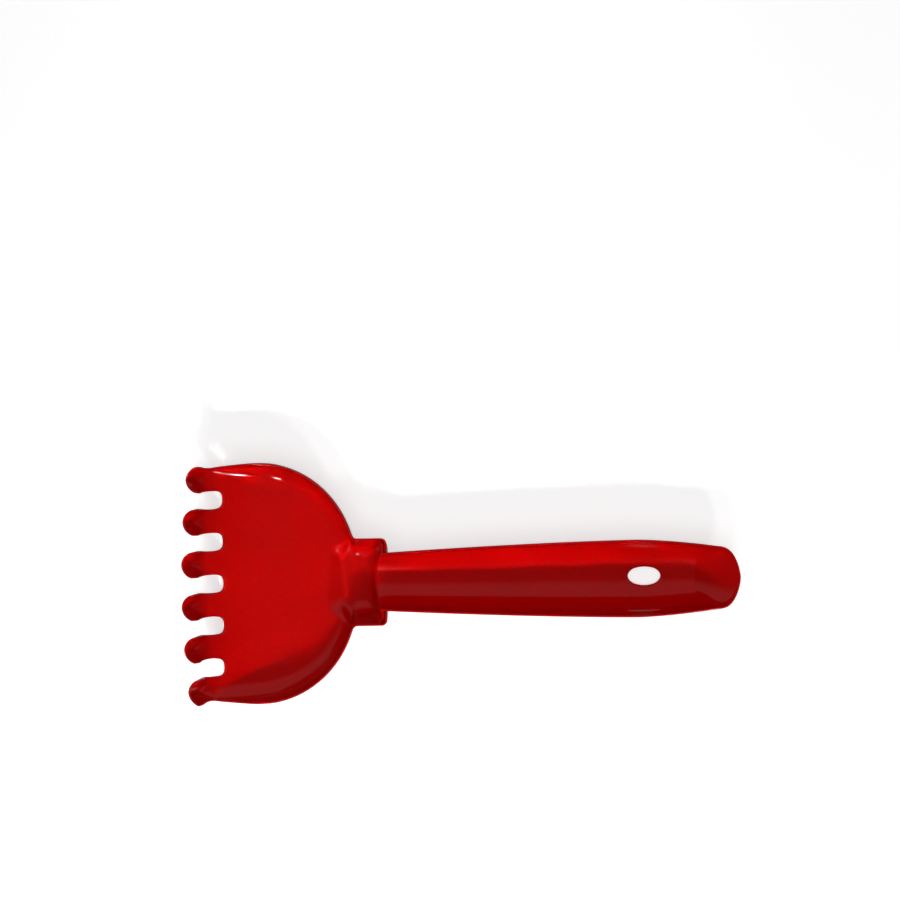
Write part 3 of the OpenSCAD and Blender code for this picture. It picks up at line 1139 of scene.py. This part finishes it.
@dataclass
class Studio:
    """The floor, the lamps and the camera (metres and degrees)."""

    floor_size: float = 6.0
    floor_grey: float = 0.74
    floor_glow: float = 0.57
    mottle_scale: float = 4.0
    mottle_detail: float = 2.0
    mottle_shade: float = 0.99
    world_dim: float = 0.04
    world_grey: float = 0.32
    world_limits: tuple[float, float] = (0.05, 0.40)
    lamps: tuple[Softbox, ...] = (
        Softbox(Lamp.OVERHEAD, (-0.02, -0.15, 1.30), size=1.2, power=6.8, mirrored=False),
        Softbox(
            Lamp.KEY, (-0.02, -1.00, 0.69), size=0.22, power=0.085, spread=6.5, aim_x=0.015,
            mirrored=False,
        ),
        Softbox(Lamp.FIRST_SPOT, (0.45, -0.96, 0.66), size=0.12, power=3.0),
        Softbox(Lamp.SECOND_SPOT, (-0.22, -0.98, 0.72), size=0.12, power=2.6),
    )
    camera_place: Place = (0.036746, 0.051544, 0.660)
    camera_turn: float = -0.773
    lens: float = 65.586
    sensor: float = 36.0

    def build(self) -> None:
        """Sets the whole stage."""
        self.lay_floor()
        self.light_world()
        for lamp in self.lamps:
            lamp.hang()
        self.place_camera()

    def lay_floor(self) -> None:
        """Lays a pale floor that shows near white and keeps the shadow."""
        bpy.ops.object.select_all(action="DESELECT")
        bpy.ops.mesh.primitive_plane_add(size=self.floor_size)
        floor = bpy.context.object
        floor.name = "floor"
        made = bpy.data.materials.new("pale_floor")
        graph = Graph(made)
        place = graph.node("ShaderNodeTexCoord", {}, {}, output="Object")
        mottle = graph.noise(place, self.mottle_scale, self.mottle_detail)
        darker = self.floor_grey * self.mottle_shade
        shade = graph.blend(mottle, grey(self.floor_grey), grey(darker))
        matt = graph.node("ShaderNodeBsdfDiffuse", {}, {"Color": shade})
        seen = graph.node("ShaderNodeLightPath", {}, {}, output="Is Camera Ray")
        glow = graph.node("ShaderNodeEmission", {}, {"Strength": seen * self.floor_glow})
        both = graph.node("ShaderNodeAddShader", {}, {0: matt, 1: glow})
        graph.node("ShaderNodeOutputMaterial", {}, {"Surface": both})
        floor.data.materials.append(made)

    def light_world(self) -> None:
        """Gives the world one grey side and leaves the rest dark; the camera sees it white."""
        world = bpy.data.worlds.new("studio")
        bpy.context.scene.world = world
        graph = Graph(world)
        place = graph.node("ShaderNodeTexCoord", {}, {}, output="Generated")
        across = graph.node("ShaderNodeSeparateXYZ", {}, {"Vector": place}, output="Y")
        side = across.above(*self.world_limits)
        around = graph.blend(side, grey(self.world_dim), grey(self.world_grey))
        light = graph.node("ShaderNodeBackground", {}, {"Color": around, "Strength": 1.0})
        white = graph.node("ShaderNodeBackground", {}, {"Color": grey(1.0), "Strength": 1.0})
        seen = graph.node("ShaderNodeLightPath", {}, {}, output="Is Camera Ray")
        both = graph.node("ShaderNodeMixShader", {}, {0: seen, 1: light, 2: white})
        graph.node("ShaderNodeOutputWorld", {}, {"Surface": both})

    def place_camera(self) -> None:
        """Places the camera over the rake."""
        data = bpy.data.cameras.new("camera")
        data.lens, data.sensor_width = self.lens, self.sensor
        made = bpy.data.objects.new("camera", data)
        bpy.context.collection.objects.link(made)
        made.location = self.camera_place
        made.rotation_euler = (0.0, 0.0, math.radians(self.camera_turn))
        bpy.context.scene.camera = made


def dress(piece: bpy.types.Object, material: bpy.types.Material, node: str) -> None:
    """Puts a material on a finished piece and ties the piece to the frame.

    Args:
        piece: the piece.
        material: its only material.
        node: the CAD node that the piece stands for.
    """
    piece.data.materials.clear()
    piece.data.materials.append(material)
    for face in piece.data.polygons:
        face.material_index = 0
    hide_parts(node)
    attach(piece, "root")
    LOG.info("%s: %d faces", piece.name, len(piece.data.polygons))


def main() -> None:
    """Builds and dresses both mouldings and sets the stage."""
    logging.basicConfig(level=logging.INFO, format="%(message)s")
    bpy.context.scene.view_settings.view_transform = "Standard"
    plastic = RedPlastic().material()
    dress(RakeHead().build(), plastic, "rake_head")
    dress(Handle().build(), plastic, "handle")
    Studio().build()


if __name__ == "__main__":
    main()
